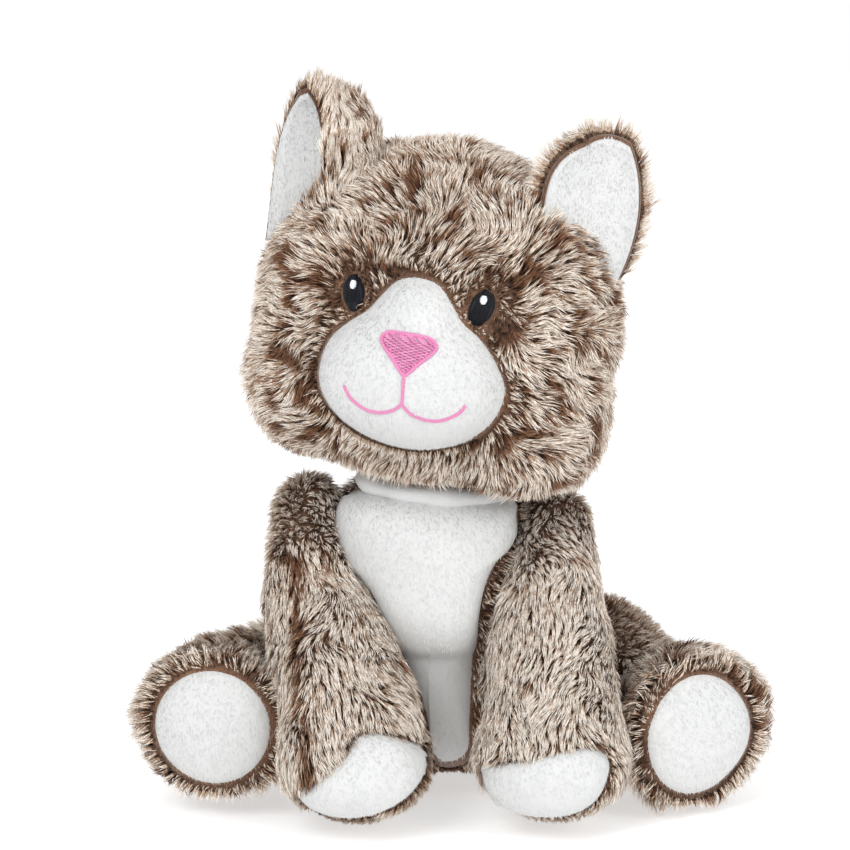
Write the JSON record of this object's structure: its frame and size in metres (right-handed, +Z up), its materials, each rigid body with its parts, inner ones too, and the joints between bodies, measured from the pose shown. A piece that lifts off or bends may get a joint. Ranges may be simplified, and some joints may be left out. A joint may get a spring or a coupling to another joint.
{
  "type": "plush cat",
  "caption": "Soft seated cat toy of long frosted pile with a white muzzle, belly, toes, soles and ear linings, turning head, folding ears, swinging limbs and a wagging tail.",
  "frame": {"origin": "middle of the footprint, on the surface the cat sits on", "axes": "+Z up, -Y the way the cat's body faces, +X the cat's own left"},
  "size_m": [0.241, 0.2005, 0.2747],
  "materials": {
    "frosted_fur": "long frosted pile, dark roots, cream tips",
    "white_plush": "short dense pile",
    "pink_thread": "satin embroidery",
    "black_thread": "satin embroidery",
    "white_thread": "satin embroidery",
    "polyester_fibre": "loose fibre fill",
    "pouch_cloth": "plain woven bag of pellets",
    "label_ribbon": "blank woven ribbon"
  },
  "bodies": {
    "torso": {"torso_right_side": "frosted_fur", "torso_left_side": "frosted_fur", "belly_panel": "white_plush", "seat_panel": "frosted_fur", "torso_stuffing": "polyester_fibre", "bean_pouch": "pouch_cloth", "care_label": "label_ribbon"},
    "neck": {"neck_stuffing": "polyester_fibre"},
    "head": {"head_face_right": "frosted_fur", "head_face_left": "frosted_fur", "head_back": "frosted_fur", "head_stuffing": "polyester_fibre", "muzzle_panel": "white_plush", "nose_embroidery": "pink_thread", "mouth_embroidery": "pink_thread", "right_eye": "black_thread", "left_eye": "black_thread", "right_eye_glint": "white_thread", "left_eye_glint": "white_thread"},
    "right_ear": {"right_ear_back": "frosted_fur", "right_ear_lining": "white_plush"},
    "left_ear": {"left_ear_back": "frosted_fur", "left_ear_lining": "white_plush"},
    "right_arm": {"right_arm_outer": "frosted_fur", "right_arm_inner": "frosted_fur", "right_toe_panel": "white_plush", "right_arm_stuffing": "polyester_fibre"},
    "left_arm": {"left_arm_outer": "frosted_fur", "left_arm_inner": "frosted_fur", "left_toe_panel": "white_plush", "left_arm_stuffing": "polyester_fibre"},
    "right_leg": {"right_leg_outer": "frosted_fur", "right_leg_inner": "frosted_fur", "right_sole": "white_plush", "right_leg_stuffing": "polyester_fibre"},
    "left_leg": {"left_leg_outer": "frosted_fur", "left_leg_inner": "frosted_fur", "left_sole": "white_plush", "left_leg_stuffing": "polyester_fibre"},
    "tail": {"tail_upper": "frosted_fur", "tail_under": "frosted_fur", "tail_stuffing": "polyester_fibre"}
  },
  "joints": [
    {"name": "neck_turn", "type": "hinge", "parent": "torso", "child": "neck", "pos_m": [-0.0055, -0.0152, 0.12], "axis": [0, 0, 1], "range_deg": [-25, 25], "stiffness_Nm_per_rad": 0.4},
    {"name": "head_nod", "type": "hinge", "parent": "neck", "child": "head", "pos_m": [-0.0055, -0.0152, 0.12], "axis": [-1, 0, 0], "range_deg": [0, 15], "stiffness_Nm_per_rad": 0.4},
    {"name": "right_ear_fold", "type": "hinge", "parent": "head", "child": "right_ear", "pos_m": [-0.0582, -0.03123, 0.23028], "axis": [0.6144, -0.6837, 0.3938], "range_deg": [-10, 60], "stiffness_Nm_per_rad": 0.02},
    {"name": "left_ear_fold", "type": "hinge", "parent": "head", "child": "left_ear", "pos_m": [0.04966, -0.05044, 0.21513], "axis": [0.6805, 0.4531, -0.5758], "range_deg": [-10, 60], "stiffness_Nm_per_rad": 0.02},
    {"name": "right_arm_swing", "type": "hinge", "parent": "torso", "child": "right_arm", "pos_m": [-0.0535, -0.0132, 0.103], "axis": [-1, 0, 0], "range_deg": [0, 50], "stiffness_Nm_per_rad": 0.05},
    {"name": "left_arm_swing", "type": "hinge", "parent": "torso", "child": "left_arm", "pos_m": [0.0395, -0.0132, 0.098], "axis": [-1, 0, 0], "range_deg": [0, 50], "stiffness_Nm_per_rad": 0.05},
    {"name": "right_leg_splay", "type": "hinge", "parent": "torso", "child": "right_leg", "pos_m": [-0.0505, 0.0228, 0.039], "axis": [0, 0, -1], "range_deg": [0, 30], "stiffness_Nm_per_rad": 0.05},
    {"name": "left_leg_splay", "type": "hinge", "parent": "torso", "child": "left_leg", "pos_m": [0.0495, 0.0188, 0.041], "axis": [0, 0, 1], "range_deg": [0, 30], "stiffness_Nm_per_rad": 0.05},
    {"name": "tail_wag", "type": "hinge", "parent": "torso", "child": "tail", "pos_m": [0.0065, 0.0668, 0.019], "axis": [0, 0, 1], "range_deg": [-20, 20], "stiffness_Nm_per_rad": 0.02}
  ]
}
